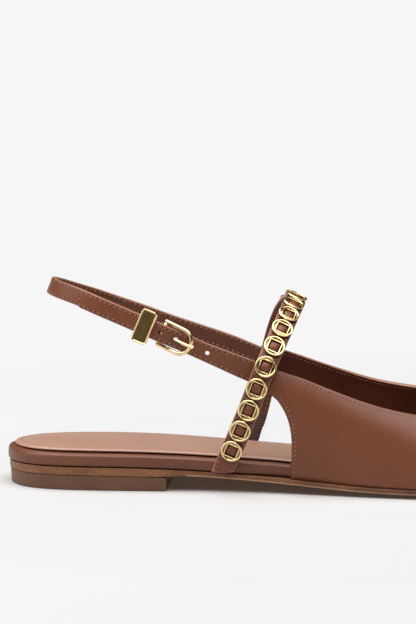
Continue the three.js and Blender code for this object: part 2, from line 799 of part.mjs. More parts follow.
function tipLevel(fromEnd) {
  const behind = fromEnd - buckleFromEnd;
  if (behind > 0) return lerp(overBar, overStrap, ease(behind, 1, 5));
  return overBar * (1 - ease(-behind, 0, buckleReach - 2 * wire));
}

function tipFrame(fromEnd) {
  const step = 0.5;
  const frame = onLoop(fromEnd);
  const origin = placed(frame, 0, 0, tipLevel(fromEnd));
  const ahead = placed(onLoop(fromEnd - step), 0, 0, tipLevel(fromEnd - step));
  const behind = placed(onLoop(fromEnd + step), 0, 0, tipLevel(fromEnd + step));
  const along = ahead.sub(behind).normalize();
  return { origin, along, across: frame.across, out: along.clone().cross(frame.across).normalize() };
}

function extruded(shape, depth, curveSegments) {
  return new THREE.ExtrudeGeometry(shape, { depth, bevelEnabled: false, curveSegments });
}

// A round bar of twelve sides in a strap's own directions.
function bar(frame, radius, from, to, axis) {
  const height = to - from;
  const geometry = new THREE.CylinderGeometry(radius, radius, height, 12);
  const matrix = new THREE.Matrix4();
  const turns = {
    out: [frame.along, frame.out, frame.across.clone().negate()],
    across: [frame.out, frame.across, frame.along.clone().negate()],
  };
  matrix.makeBasis(...turns[axis]);
  geometry.translate(0, (from + to) / 2, 0);
  geometry.applyMatrix4(matrix);
  geometry.translate(frame.origin.x, frame.origin.y, frame.origin.z);
  return geometry;
}

function block(frame, along, across, out) {
  const size = [along, across, out].map(([from, to]) => to - from);
  const geometry = new THREE.BoxGeometry(...size);
  const middle = [along, across, out].map(([from, to]) => (from + to) / 2);
  geometry.translate(...middle);
  geometry.applyMatrix4(new THREE.Matrix4().makeBasis(frame.along, frame.across, frame.out));
  geometry.translate(frame.origin.x, frame.origin.y, frame.origin.z);
  return geometry;
}

const barFrame = onLoop(buckleFromEnd);

// Prong: from its eye on the bar up through the strap and onto the round end of the buckle.
const frontLevel = strapThickness / 2 + buckleLift + wire / 2;
const prongLevel = frontLevel + wire / 2 + gap + prongWidth / 2;
const prongPath = [
  { along: 0, out: eyeHole + eyeWall / 2 - barDepth },
  { along: 0.25 * buckleReach, out: 0.18 * prongLevel },
  { along: 0.54 * buckleReach, out: 0.66 * prongLevel },
  { along: 0.78 * buckleReach, out: prongLevel },
  { along: buckleReach, out: prongLevel },
];

function prongBody(extra) {
  const points = prongPath.map(({ along, out }) => placed(barFrame, along, 0, out));
  const route = new Route(points);
  const distances = steps(0, route.length, 10);
  const frames = distances.map((distance) => onStrap(route, distance, barFrame.across, 1));
  const widths = distances.map(() => prongWidth + 2 * extra);
  return sweep(frames, widths, prongWidth + 2 * extra, still);
}

function makeProng() {
  const eyeFrame = { ...barFrame, origin: placed(barFrame, 0, 0, -barDepth) };
  const eye = solid(bar(eyeFrame, eyeRadius, -prongWidth / 2, prongWidth / 2, "across"));
  const hole = solid(bar(eyeFrame, eyeHole, -prongWidth, prongWidth, "across"));
  return geometryOf(solid(prongBody(0)).add(eye).subtract(hole));
}

// Buckle: a horseshoe of flat wire closed by a round bar, tilted so that its round end lies on the
// strap and its bar under it.
function makeBuckle() {
  const inside = strapWidth + 2 * buckleSideRoom;
  const outer = inside / 2 + wire;
  const straight = buckleReach - outer;
  const shape = new THREE.Shape();
  shape.moveTo(-barWidth / 2, -outer);
  shape.lineTo(straight, -outer);
  shape.absarc(straight, 0, outer, -Math.PI / 2, Math.PI / 2, false);
  shape.lineTo(-barWidth / 2, outer);
  shape.lineTo(-barWidth / 2, inside / 2);
  shape.lineTo(straight, inside / 2);
  shape.absarc(straight, 0, inside / 2, Math.PI / 2, -Math.PI / 2, true);
  shape.lineTo(-barWidth / 2, -inside / 2);
  shape.closePath();
  const ring = extruded(shape, wire, 10);
  ring.translate(0, 0, -wire / 2);
  const tilt = Math.atan2(frontLevel + barDepth, buckleReach - wire / 2);
  ring.rotateY(-tilt);
  ring.applyMatrix4(new THREE.Matrix4().makeBasis(barFrame.along, barFrame.across, barFrame.out));
  const origin = placed(barFrame, 0, 0, -barDepth);
  ring.translate(origin.x, origin.y, origin.z);
  const rod = bar({ ...barFrame, origin }, barWidth / 2, -outer + 0.2, outer - 0.2, "across");
  return geometryOf(solid(ring).add(solid(rod)));
}

// Keeper: a plain plate over the straps with a flat band round behind them.
function makeKeeper() {
  const frame = onLoop(buckleFromEnd + keeperFromBar);
  const face = overStrap + strapThickness / 2 + gap;
  const back = -strapThickness / 2 - gap;
  const high = strapWidth / 2 + 1.5 * gap;
  const round = keeperRound;
  const plate = new THREE.Shape();
  const [a, b] = [keeperWidth / 2, keeperHeight / 2];
  plate.absarc(a - round, b - round, round, 0, Math.PI / 2, false);
  plate.absarc(-a + round, b - round, round, Math.PI / 2, Math.PI, false);
  plate.absarc(-a + round, -b + round, round, Math.PI, 1.5 * Math.PI, false);
  plate.absarc(a - round, -b + round, round, 1.5 * Math.PI, 2 * Math.PI, false);
  plate.closePath();
  const front = extruded(plate, keeperPlate, 3);
  front.translate(0, 0, face);
  front.applyMatrix4(new THREE.Matrix4().makeBasis(frame.along, frame.across, frame.out));
  front.translate(frame.origin.x, frame.origin.y, frame.origin.z);
  const bandHalf = keeperWidth / 2 - keeperBandInset;
  const outside = block(
    frame,
    [-bandHalf, bandHalf],
    [-high - keeperBand, high + keeperBand],
    [back - keeperBand, face + keeperPlate / 4],
  );
  const passage = block(frame, [-keeperWidth, keeperWidth], [-high, high], [back, face]);
  return geometryOf(solid(front).add(solid(outside)).subtract(solid(passage)));
}

// Strap round the heel, from inside the inner wing to an eye on the buckle's bar.
function makeSling() {
  const end = loopRoute.length - buckleFromEnd;
  const distances = steps(0, end, 40);
  const frames = distances.map((distance) => onStrap(loopRoute, distance, loopWidthway, 1));
  const body = solid(sweep(frames, distances.map(() => strapWidth), strapThickness, still));
  const eyeFrame = { ...barFrame, origin: placed(barFrame, 0, 0, -barDepth) };
  const half = strapWidth / 2;
  const eye = solid(bar(eyeFrame, eyeRadius, -half, half, "across"));
  const hole = solid(bar(eyeFrame, eyeHole, -strapWidth, strapWidth, "across"));
  const slotHalf = prongWidth / 2 + gap;
  const slotSides = [-slotReach, slotReach];
  const slot = solid(block(barFrame, slotSides, [-slotHalf, slotHalf], slotSides));
  return geometryOf(body.add(eye).subtract(hole).subtract(slot));
}

// Strap with holes, from inside the outer wing over the bar and through the keeper to its round tip.
function makeTip() {
  const width = (fromEnd) => {
    const flared = strapWidth + strapFlare * (1 - ease(fromEnd, 6, buckleFromEnd - buckleReach));
    const left = clamp((tipLength - fromEnd) / tipRound, 0, 1);
    return flared - 2 * tipRound * (1 - Math.sqrt(Math.max(1 - (1 - left) ** 2, 0)));
  };
  const end = [0.35, 0.78, 0.98].map((share) => tipLength - tipRound * (1 - share));
  const places = [...steps(0, tipLength - tipRound, 35), ...end];
  const frames = places.map(tipFrame);
  const strap = solid(sweep(frames, places.map(width), strapThickness, still));
  const holes = Array.from({ length: holeCount }, (_, k) => {
    const fromEnd = buckleFromEnd - prongToHole + (k - holesBehindProng) * holeSpacing;
    return solid(bar(tipFrame(fromEnd), holeRadius, -strapThickness, strapThickness, "out"));
  });
  const cut = holes.reduce((left, hole) => left.subtract(hole), strap);
  return geometryOf(cut.subtract(solid(prongBody(gap))));
}

// The instep strap's middle line, tied to the outside of the wings and of the midsole.
const midsoleSide = (side, x) => Math.abs(feather[side](x)) + featherInset - midsoleInset(x);
const midsoleUnder = (side, x) => {
  const places = steps(x - crossWidth / 2, x + crossWidth / 2 + 0.1 * crossReach, 6);
  return Math.max(...places.map((place) => midsoleSide(side, place)));
};
const crossFoot = tongueLow.x - crossBehindTongue;
const crossBase = outsoleTop(crossFoot) + gap;
const innerFoot = crossFoot + cross.at(-1).forward * crossReach;
const footHalf = {
  "-1": midsoleUnder(-1, crossFoot) + gap + crossThickness / 2,
  1: midsoleUnder(1, innerFoot) + 3 * gap + goreThickness + crossThickness / 2,
};

function crossRouteOf(half) {
  const points = cross.map((row) => {
    const side = row.foot < 0 ? -1 : 1;
    const x = crossFoot + row.forward * crossReach;
    const y = row.across * half + row.foot * footHalf[side];
    return new THREE.Vector3(x, y, lerp(crossBase, crossHeight, row.up));
  });
  return new Route(points);
}

const crossWidthway = new THREE.Vector3(Math.cos(radians(crossLean)), 0, -Math.sin(radians(crossLean)));

// How far the wings reach out through the middle line of a strap of this half width.
function wingReach(route) {
  const frames = steps(0, route.length, 160).map((distance) => onStrap(route, distance, crossWidthway, -1));
  const levels = upperSheet.flat().map((point) => {
    const seen = frames.map((frame) => {
      const offset = point.clone().sub(frame.origin);
      const level = offset.dot(frame.out);
      const far = Math.abs(offset.dot(frame.along)) + Math.abs(level);
      return { level, far, across: offset.dot(frame.across) };
    });
    const nearest = seen.reduce((best, next) => (next.far < best.far ? next : best));
    return Math.abs(nearest.across) < crossWidth / 2 + 1 ? nearest.level : -Infinity;
  });
  return Math.max(...levels);
}

const looseHalf = Math.abs(tongueLow.y);
const crossHalf = looseHalf + wingReach(crossRouteOf(looseHalf)) + 1.6 * gap + crossThickness / 2;
const crossRoute = crossRouteOf(crossHalf);
const onCross = (distance) => onStrap(crossRoute, distance, crossWidthway, -1);

// Lets the foot of a strap follow the outsole that it stands on.
function footed(index) {
  return (point, frame, i) => {
    if (i !== index) return point;
    const drop = (outsoleTop(point.x) + gap - point.z) / frame.along.z;
    return point.clone().addScaledVector(frame.along, drop);
  };
}

function heightPlace(height) {
  const places = steps(crossRoute.length * 0.75, crossRoute.length, 200);
  return places.find((distance) => crossRoute.point(distance).z <= height);
}

const leatherEnd = heightPlace(crossBase + goreHeight);

// Leather strap over the instep, standing on the outsole at the outer side.
function makeCross() {
  const distances = steps(0, leatherEnd, 48);
  const frames = distances.map(onCross);
  return sweep(frames, distances.map(() => crossWidth), crossThickness, footed(0));
}

// Elastic between the strap's inner end and the outsole, inside the strap where they lap.
function makeGore() {
  const depth = -(crossThickness / 2 + gap + goreThickness / 2);
  const distances = steps(leatherEnd - goreLap, crossRoute.length, 8);
  const frames = distances.map((distance) => {
    const frame = onCross(distance);
    return { ...frame, origin: placed(frame, 0, 0, depth) };
  });
  return sweep(frames, distances.map(() => goreWidth), goreThickness, footed(distances.length - 1));
}

// One stud: a round plate with a square window, lying on the instep strap.
function makeStud(number) {
  const place = firstStud + number * studPitch;
  const frame = onCross(place);
  const reachBack = crossRoute.point(place - studDiameter / 2).sub(frame.origin).dot(frame.out);
  const reachOn = crossRoute.point(place + studDiameter / 2).sub(frame.origin).dot(frame.out);
  const lift = Math.max(0, reachBack, reachOn);
  const shape = new THREE.Shape();
  shape.absarc(0, 0, studDiameter / 2, 0, 2 * Math.PI, false);
  const window = new THREE.Path();
  const reach = studWindow / 2;
  window.moveTo(reach, reach);
  window.lineTo(-reach, reach);
  window.lineTo(-reach, -reach);
  window.lineTo(reach, -reach);
  window.closePath();
  shape.holes.push(window);
  const stud = extruded(shape, studThickness, 8);
  stud.translate(0, 0, crossThickness / 2 + gap + lift);
  stud.applyMatrix4(new THREE.Matrix4().makeBasis(frame.across, frame.along, frame.out));
  stud.translate(frame.origin.x, frame.origin.y, frame.origin.z);
  return stud;
}

const shoe = new THREE.Group();

function add(name, geometry, finish) {
  const mesh = new THREE.Mesh(geometry, new THREE.MeshStandardMaterial(finish));
  mesh.name = name;
  shoe.add(mesh);
}

add("outsole", makeOutsole(), soleLeather);
add("heel", makeHeel(), soleLeather);
add("midsole", makeMidsole(), wrapped);
add("insole", makeInsole(), lining);
add("upper", makeUpper(), leather);
add("sling_strap", makeSling(), leather);
add("tip_strap", makeTip(), leather);
add("cross_strap", makeCross(), leather);
add("elastic_gore", makeGore(), elastic);
add("buckle_frame", makeBuckle(), gold);
add("buckle_prong", makeProng(), gold);
add("keeper", makeKeeper(), gold);
const studCount = Math.floor((leatherEnd - studEnd - firstStud) / studPitch) + 1;
for (let number = 0; number < studCount; number++) {
  add(`stud_${String(number + 1).padStart(2, "0")}`, makeStud(number), gold);
}

// The shoe stands with its middle over the origin.
const box = new THREE.Box3().setFromObject(shoe);
const middle = box.getCenter(new THREE.Vector3());
shoe.position.set(-middle.x, -middle.y, -box.min.z);

export default shoe;
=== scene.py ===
"""A slingback ballet flat for the right foot, in smooth brown leather with gold rings on its instep strap.

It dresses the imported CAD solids, in metres: +X to the toe, +Y to the inner side of the foot, +Z up.
"""

import math

import bmesh
import bpy
from mathutils import Matrix, Vector
from mathutils.bvhtree import BVHTree


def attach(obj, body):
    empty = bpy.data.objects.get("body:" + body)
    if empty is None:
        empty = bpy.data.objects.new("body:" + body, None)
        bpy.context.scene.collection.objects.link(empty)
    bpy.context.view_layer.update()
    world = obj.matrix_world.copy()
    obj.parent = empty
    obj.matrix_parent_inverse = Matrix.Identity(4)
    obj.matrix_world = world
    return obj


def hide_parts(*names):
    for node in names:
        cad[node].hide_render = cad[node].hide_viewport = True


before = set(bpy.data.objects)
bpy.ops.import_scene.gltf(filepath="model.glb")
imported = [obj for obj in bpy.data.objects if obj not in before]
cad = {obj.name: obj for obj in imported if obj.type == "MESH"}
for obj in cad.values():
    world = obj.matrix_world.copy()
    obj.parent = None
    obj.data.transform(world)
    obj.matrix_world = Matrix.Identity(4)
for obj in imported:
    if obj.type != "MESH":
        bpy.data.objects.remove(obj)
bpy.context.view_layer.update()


# Outsole and heel lift: two layers of stained sole leather, cut square and burnished at the edge. The
# outsole runs the whole length, and the lift is glued and nailed under its seat.
same_place = 2e-6


def copied(node):
    """A CAD piece's mesh with its loose triangles merged and joined into faces."""
    shape = bmesh.new()
    shape.edges.layers.float.new("crease_edge")
    shape.from_mesh(cad[node].data)
    bmesh.ops.remove_doubles(shape, verts=shape.verts, dist=same_place)
    bmesh.ops.join_triangles(
        shape,
        faces=shape.faces,
        angle_face_threshold=math.radians(30),
        angle_shape_threshold=math.pi,
    )
    shape.normal_update()
    return shape


def softened(shape, width, sharpest=math.radians(40)):
    """Rounds every sharp edge off by a width."""
    edges = [e for e in shape.edges if e.is_manifold and e.calc_face_angle() > sharpest]
    bmesh.ops.bevel(
        shape,
        geom=edges,
        offset=width,
        affect="EDGES",
        segments=2,
        profile=0.5,
        material=-1,
        clamp_overlap=True,
    )


def piece_of(name, shape, finishes, stands_for, rounding=0):
    """Turns a finished bmesh into a piece of the shoe that rides on its one body."""
    mesh = bpy.data.meshes.new(name)
    shape.to_mesh(mesh)
    shape.free()
    for finish in finishes:
        mesh.materials.append(finish)
    mesh.shade_smooth()
    piece = bpy.data.objects.new(name, mesh)
    bpy.context.scene.collection.objects.link(piece)
    if rounding:
        smoothing = piece.modifiers.new("rounding", "SUBSURF")
        smoothing.levels = smoothing.render_levels = rounding
    if stands_for:
        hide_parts(*stands_for)
    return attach(piece, "root")


def tone(red, green, blue):
    """A colour from 0 to 255, as the linear value that a shader takes."""
    return (*(((c / 255 + 0.055) / 1.055) ** 2.4 for c in (red, green, blue)), 1)


def wired(finish, kind, inputs, **settings):
    """Adds one shader node, whose inputs are values or the outputs of others."""
    node = finish.node_tree.nodes.new(kind)
    for name, value in settings.items():
        setattr(node, name, value)
    for socket, value in inputs.items():
        if isinstance(value, bpy.types.NodeSocket):
            finish.node_tree.links.new(value, node.inputs[socket])
        else:
            node.inputs[socket].default_value = value
    return node


def new_finish(name):
    """An empty material and the place of each point of its piece."""
    finish = bpy.data.materials.new(name)
    finish.use_nodes = True
    finish.node_tree.nodes.clear()
    return finish, wired(finish, "ShaderNodeTexCoord", {}).outputs["Object"]


def blended(finish, share, first, second):
    """A colour between two others."""
    mix = wired(finish, "ShaderNodeMix", {"Factor": share}, data_type="RGBA")
    for socket, colour in ((mix.inputs[6], first), (mix.inputs[7], second)):
        if isinstance(colour, bpy.types.NodeSocket):
            finish.node_tree.links.new(colour, socket)
        else:
            socket.default_value = colour
    return mix.outputs[2]


def ranged(finish, value, low, high, to_low, to_high):
    """Maps a value from one range to another, and stops at its ends."""
    inputs = {"Value": value, "From Min": low, "From Max": high, "To Min": to_low, "To Max": to_high}
    return wired(finish, "ShaderNodeMapRange", inputs).outputs["Result"]


def noise(finish, place, scale, detail, roughness=0.5):
    """A cloudy value, which mostly lies between 0.3 and 0.7."""
    inputs = {"Vector": place, "Scale": scale, "Detail": detail, "Roughness": roughness}
    return wired(finish, "ShaderNodeTexNoise", inputs).outputs["Fac"]


def spread(finish, cloudy, to_low, to_high):
    """Spreads a noise over a range."""
    return ranged(finish, cloudy, 0.3, 0.7, to_low, to_high)


def lightened(finish, colour, factor):
    """A colour made lighter or darker by a factor."""
    return wired(finish, "ShaderNodeHueSaturation", {"Color": colour, "Value": factor}).outputs["Color"]


def surfaced(finish, inputs, height, strength, depth):
    """Closes a material with its shader and a bump of a real depth."""
    bump = {"Height": height, "Strength": strength, "Distance": depth}
    inputs["Normal"] = wired(finish, "ShaderNodeBump", bump).outputs["Normal"]
    shader = wired(finish, "ShaderNodeBsdfPrincipled", inputs)
    wired(finish, "ShaderNodeOutputMaterial", {"Surface": shader.outputs["BSDF"]})


def sole_leather(name, light, dark, layering, flecking, ahead=1.0):
    """Waxed sole leather seen at its edge: faint level layers, pores and flecks, and darker toward the toe.
    """
    finish, place = new_finish(name)
    layer_scale = (160, 160, 1100)
    darkening_from, darkening_to = -0.04, 0.05
    stretched = wired(finish, "ShaderNodeMapping", {"Vector": place, "Scale": layer_scale}).outputs["Vector"]
    layers = noise(finish, stretched, 1.0, 3.0)
    flecks = noise(finish, place, 900.0, 4.0, 0.75)
    clouds = noise(finish, place, 55.0, 2.0)
    tan = blended(finish, spread(finish, clouds, 0.0, 1.0), dark, light)
    layered = lightened(finish, tan, spread(finish, layers, 1 - layering, 1 + layering))
    worn = ranged(finish, flecks, 0.35, 0.62, 1 + 0.4 * flecking, 1 - flecking)
    flecked = lightened(finish, layered, worn)
    forward = wired(finish, "ShaderNodeSeparateXYZ", {"Vector": place}).outputs["X"]
    # The edge is made darker toward the toe, by the factor ahead.
    darker_ahead = ranged(finish, forward, darkening_from, darkening_to, 1.0, ahead)
    shade = lightened(finish, flecked, darker_ahead)
    roughness = spread(finish, flecks, 0.4, 0.62)
    inputs = {"Base Color": shade, "Roughness": roughness, "Specular IOR Level": 0.3}
    surfaced(finish, inputs, flecks, 0.35, 0.00012)
    return finish


outsole_edge = sole_leather(
    "outsole edge leather",
    tone(141, 94, 61),
    tone(111, 70, 43),
    layering=0.14,
    flecking=0.38,
    ahead=0.36,
)
pale_arris = sole_leather(
    "paler lower arris of the outsole",
    tone(184, 148, 118),
    tone(166, 130, 102),
    layering=0.05,
    flecking=0.15,
    ahead=0.5,
)
lift_edge = sole_leather(
    "heel lift leather", tone(104, 72, 53), tone(92, 62, 45), layering=0.05, flecking=0.1
)
arris = 0.00035
pale_arris_from = -0.063
outsole = copied("outsole")
softened(outsole, arris)
outsole.normal_update()
# From in front of the heel on, the downward-facing lower arris is given a paler tone.
for face in outsole.faces:
    if -0.9 < face.normal.z < -0.2 and face.calc_center_median().x > pale_arris_from:
        face.material_index = 1
piece_of("outsole_layer", outsole, [outsole_edge, pale_arris], ["outsole"], rounding=2)

glue_line = 0.00022
lift = copied("heel")
softened(lift, arris)
lift_top = max(corner.co.z for corner in lift.verts)
raised = [corner for corner in lift.verts if corner.co.z > lift_top - 1.5 * arris]
bmesh.ops.translate(lift, verts=raised, vec=(0, 0, glue_line))
piece_of("heel_lift", lift, [lift_edge], ["heel"], rounding=2)


# Midsole: a thin board with a soft edge, wrapped in the upper's brown leather, which is drawn tight round
# it and glued under it.
def soft_leather(name, main, deep, grain=1.0, matt=0.42, shine=0.35):
    """Smooth calf leather: a little uneven in colour, with fine pores and soft creases between them."""
    finish, place = new_finish(name)
    clouds = noise(finish, place, 42.0, 3.0)
    speckle = noise(finish, place, 1100.0, 2.0, 0.6)
    creases = noise(finish, place, 330.0, 4.0, 0.6)
    cells = wired(finish, "ShaderNodeTexVoronoi", {"Vector": place, "Scale": 1700.0}).outputs["Distance"]
    base = blended(finish, spread(finish, clouds, 0.0, 1.0), deep, main)
    shade = lightened(finish, base, spread(finish, speckle, 1 - 0.1 * grain, 1 + 0.08 * grain))
    pores_and_creases = {0: cells, 1: 0.6, 2: creases}
    height = wired(finish, "ShaderNodeMath", pores_and_creases, operation="MULTIPLY_ADD").outputs["Value"]
    roughness = spread(finish, speckle, matt - 0.05 * grain, matt + 0.08 * grain)
    inputs = {"Base Color": shade, "Roughness": roughness, "Specular IOR Level": shine}
    surfaced(finish, inputs, height, 0.25 * grain, 0.0001)
    return finish


wrapping = soft_leather("midsole wrapping leather", tone(106, 62, 42), tone(97, 55, 38), matt=0.36)
piece_of("midsole_wrap", copied("midsole"), [wrapping], ["midsole"], rounding=2)


# Insole: thin foam under lighter lining leather, cut a little smaller than the midsole and sewn round its
# edge with a pale thread. It is bare, without any stamp.
def faces_up(shape, least):
    """Faces that look up at least that much."""
    return [face for face in shape.faces if face.normal.z > least]


def seam_lines(shape, faces, margin, unsewn=(), shortest=0.03):
    """Lines on these faces that keep a margin from their border, as a sewing machine's guide does."""
    inside = set(faces)
    skipped = set(unsewn)
    shape.edges.index_update()
    shape.verts.index_update()
    inward, border = {}, {}
    for edge in shape.edges:
        within = [face for face in edge.link_faces if face in inside]
        if len(edge.link_faces) != 2 or len(within) != 1 or skipped & set(edge.link_faces):
            continue
        border[edge] = True
        first, second = (corner.co for corner in edge.verts)
        across = within[0].normal.cross(second - first).normalized()
        if across.dot(within[0].calc_center_median() - first) < 0:
            across.negate()
        for corner in edge.verts:
            inward[corner] = inward.get(corner, Vector()) + across * (second - first).length
    lines = []
    while border:
        ends = [v for edge in border for v in edge.verts if sum(x in border for x in v.link_edges) == 1]
        corner = min(ends, key=lambda v: v.index) if ends else next(iter(border)).verts[0]
        chain = [corner]
        onward = [edge for edge in corner.link_edges if edge in border]
        while onward:
            edge = min(onward, key=lambda e: e.index)
            del border[edge]
            corner = edge.other_vert(corner)
            chain.append(corner)
            onward = [edge for edge in corner.link_edges if edge in border]
        length = sum((b.co - a.co).length for a, b in zip(chain, chain[1:]))
        if length > shortest:
            points = [v.co + inward[v].normalized() * margin for v in chain]
            near = [v.co for v in chain]
            lines.append([p for p in points if min((p - q).length for q in near) > 0.9 * margin])
    return lines


def spaced(line, pitch):
    """Places along a line that lie a pitch apart, each with the line's direction."""
    travelled, wanted, found = 0.0, pitch / 2, []
    for first, second in zip(line, line[1:]):
        step = second - first
        while step.length > 0 and travelled + step.length > wanted:
            found.append((first + step * ((wanted - travelled) / step.length), step.normalized()))
            wanted += pitch
        travelled += step.length
    return found


def lying(place, along, across, out):
    """Lays a shape at a place, with its own axes in three directions."""
    return Matrix.Translation(place) @ Matrix((along, across, out)).transposed().to_4x4()


def sewn(name, lines, leather_piece, pitch, stitch_width=0.00038, sunk=0.0):
    """Stitches laid on a piece along lines, each between two dark discs that paint the shade in needle holes.
    """
    shade_disc_lift = 0.00003
    skin = BVHTree.FromObject(leather_piece, bpy.context.evaluated_depsgraph_get())
    stitches = bmesh.new()
    for line in lines:
        for spot, along in spaced(line, pitch):
            place, out, _, _ = skin.find_nearest(spot)
            side = out.cross(along).normalized()
            lay = lying(place - out * sunk, side.cross(out), side, out)
            size = Matrix.Diagonal((0.37 * pitch, stitch_width / 2, 0.45 * stitch_width, 1))
            bmesh.ops.create_icosphere(stitches, subdivisions=1, radius=1, matrix=lay @ size)
            beside = lay @ Matrix.Translation((pitch / 2, 0, sunk + shade_disc_lift))
            # Each needle hole is a dark disc laid on the leather: painted shade, not a real hole.
            hole = bmesh.ops.create_circle(
                stitches, cap_ends=True, segments=6, radius=0.75 * stitch_width, matrix=beside
            )
            for face in {face for corner in hole["verts"] for face in corner.link_faces}:
                face.material_index = 1
    piece_of(name, stitches, [thread, needle_hole_shade], [])


def thread_finish(name, colour):
    """Waxed polyester thread with its twist, also used for the painted shade in needle holes."""
    finish, place = new_finish(name)
    twist = noise(finish, place, 2600.0, 1.0)
    tinted = lightened(finish, colour, spread(finish, twist, 0.75, 1.15))
    surfaced(finish, {"Base Color": tinted, "Roughness": 0.6}, twist, 0.4, 0.0001)
    return finish


thread = thread_finish("pale thread", tone(146, 103, 81))
needle_hole_shade = thread_finish("shadow in the needle hole", tone(56, 29, 20))
insole_leather = soft_leather(
    "insole leather", tone(167, 129, 111), tone(160, 122, 104), grain=0.02, matt=0.36, shine=0.5
)
insole = copied("insole")
insole_seam = seam_lines(insole, faces_up(insole, 0.94), margin=0.0017)
insole_pad = piece_of("insole_pad", insole, [insole_leather], ["insole"], rounding=2)
sewn("insole_stitches", insole_seam, insole_pad, pitch=0.0019, stitch_width=0.00036, sunk=0.0001)


# Upper: a vamp and two wings in one piece of calf leather, lined with calf and lasted under the sole. Its
# cut edges are painted and sewn 1.4 mm inside, and its topline leans in a little over the foot. The paint on
# the cut edges is paler than the leather, partly its own tone and partly a painted highlight.
def panels(shape, sharpest=math.radians(35)):
    """The smooth areas of a shape between its sharp edges."""
    found, reached = [], set()
    for first in shape.faces:
        if first in reached:
            continue
        reached.add(first)
        panel = [first]
        for face in panel:
            for edge in face.edges:
                if edge.calc_face_angle(math.pi) > sharpest:
                    continue
                fresh = [other for other in edge.link_faces if other not in reached]
                reached.update(fresh)
                panel.extend(fresh)
        found.append(panel)
    return found


def thin_faces(shape, wall):
    """The two faces of a leather wall, without its cut edges."""
    just_inside = 1e-5
    thickest = 1.15 * wall
    inside = BVHTree.FromBMesh(shape)
    found = []
    for panel in panels(shape):
        thin = 0.0
        for face in panel:
            start = face.calc_center_median() - face.normal * just_inside
            depth = inside.ray_cast(start, -face.normal)[3]
            if depth is not None and depth < thickest:
                thin += face.calc_area()
        if thin > 0.5 * sum(face.calc_area() for face in panel):
            found.extend(panel)
    return found


def looks_out(face, middle):
    """Whether a face looks away from the middle of the shoe."""
    return face.normal.dot(face.calc_center_median() - middle) > 0


def held(shape, edges, sharpness):
    """Keeps these edges crisp when the piece is rounded."""
    crease = shape.edges.layers.float["crease_edge"]
    for edge in edges:
        edge[crease] = sharpness


upper_wall = 0.0016
upper_margin = 0.0014
toe_middle, foot_level = 0.11, 0.008
downward = -0.7
drawn_in, drawn_over = 0.0012, 0.0095
lean_fades_from, lean_fades_to = 0.03, 0.06
upper_leather = soft_leather("upper leather", tone(107, 56, 28), tone(100, 51, 25), matt=0.4, shine=0.42)
# The lining is darker than the outer leather, partly its own tone and partly painted shade inside the shoe.
shaded_lining_leather = soft_leather(
    "upper lining leather with painted shade", tone(77, 37, 23), tone(66, 31, 20), matt=0.55, shine=0.15
)
# The cut edges' paint is paler than the leather, partly its own tone and partly a painted highlight.
edge_paint_and_highlight = soft_leather(
    "edge paint with painted highlight", tone(142, 92, 68), tone(128, 81, 58), grain=0.4, matt=0.34, shine=0.5
)
upper = copied("upper")
leather_faces = set(thin_faces(upper, upper_wall))
for face in upper.faces:
    centre = face.calc_center_median()
    if face in leather_faces:
        middle = Vector((min(centre.x, toe_middle), 0, foot_level))
        face.material_index = 0 if looks_out(face, middle) else 1
    elif face.normal.z < downward:
        face.material_index = 1
    else:
        face.material_index = 2
topline_faces = [face for face in upper.faces if face.material_index == 2 and face.normal.z > 0.5]
topline = [corner.co.copy() for face in topline_faces for corner in face.verts]
for corner in upper.verts:
    below = min((corner.co - place).length for place in topline) / drawn_over
    ahead = (corner.co.x - lean_fades_from) / (lean_fades_to - lean_fades_from)
    share = max(1 - below, 0) ** 2 * min(max(1 - ahead, 0), 1)
    corner.co.y -= math.copysign(drawn_in * share, corner.co.y)
upper.normal_update()
outer_faces = [face for face in upper.faces if face.material_index == 0]
lasted_edge = [face for face in upper.faces if face.normal.z < downward and face not in leather_faces]
cut_edges = [edge for edge in upper.edges if len({face.material_index for face in edge.link_faces}) == 2]
held(upper, cut_edges, 0.6)
held(upper, {edge for face in lasted_edge for edge in face.edges}, 1.0)
upper_seam = seam_lines(upper, outer_faces, upper_margin, unsewn=lasted_edge)
lining_faces = [face for face in leather_faces if face.material_index == 1]
lining_seam = seam_lines(upper, lining_faces, upper_margin, unsewn=lasted_edge)
upper_finishes = [upper_leather, shaded_lining_leather, edge_paint_and_highlight]
upper_piece = piece_of("upper_leather", upper, upper_finishes, ["upper"], rounding=2)
sewn("upper_stitches", upper_seam, upper_piece, pitch=0.00175, stitch_width=0.00036)
sewn("upper_inner_stitches", lining_seam, upper_piece, pitch=0.00175, stitch_width=0.00036)


# Heel strap and holed strap: two layers of the calf leather glued back to back, painted at the edge and
# sewn along both sides, the paint paler than the leather, partly a painted highlight. The holed strap has
# punched holes and a round tip.
def crisp(shape, sharpest):
    """Shades the edges that turn by more than an angle as sharp ones."""
    for edge in shape.edges:
        edge.smooth = edge.calc_face_angle(0) < sharpest


def fair(piece):
    """Shades wide faces flat beside the narrow rounded ones."""
    piece.modifiers.new("fair", "WEIGHTED_NORMAL").keep_sharp = True


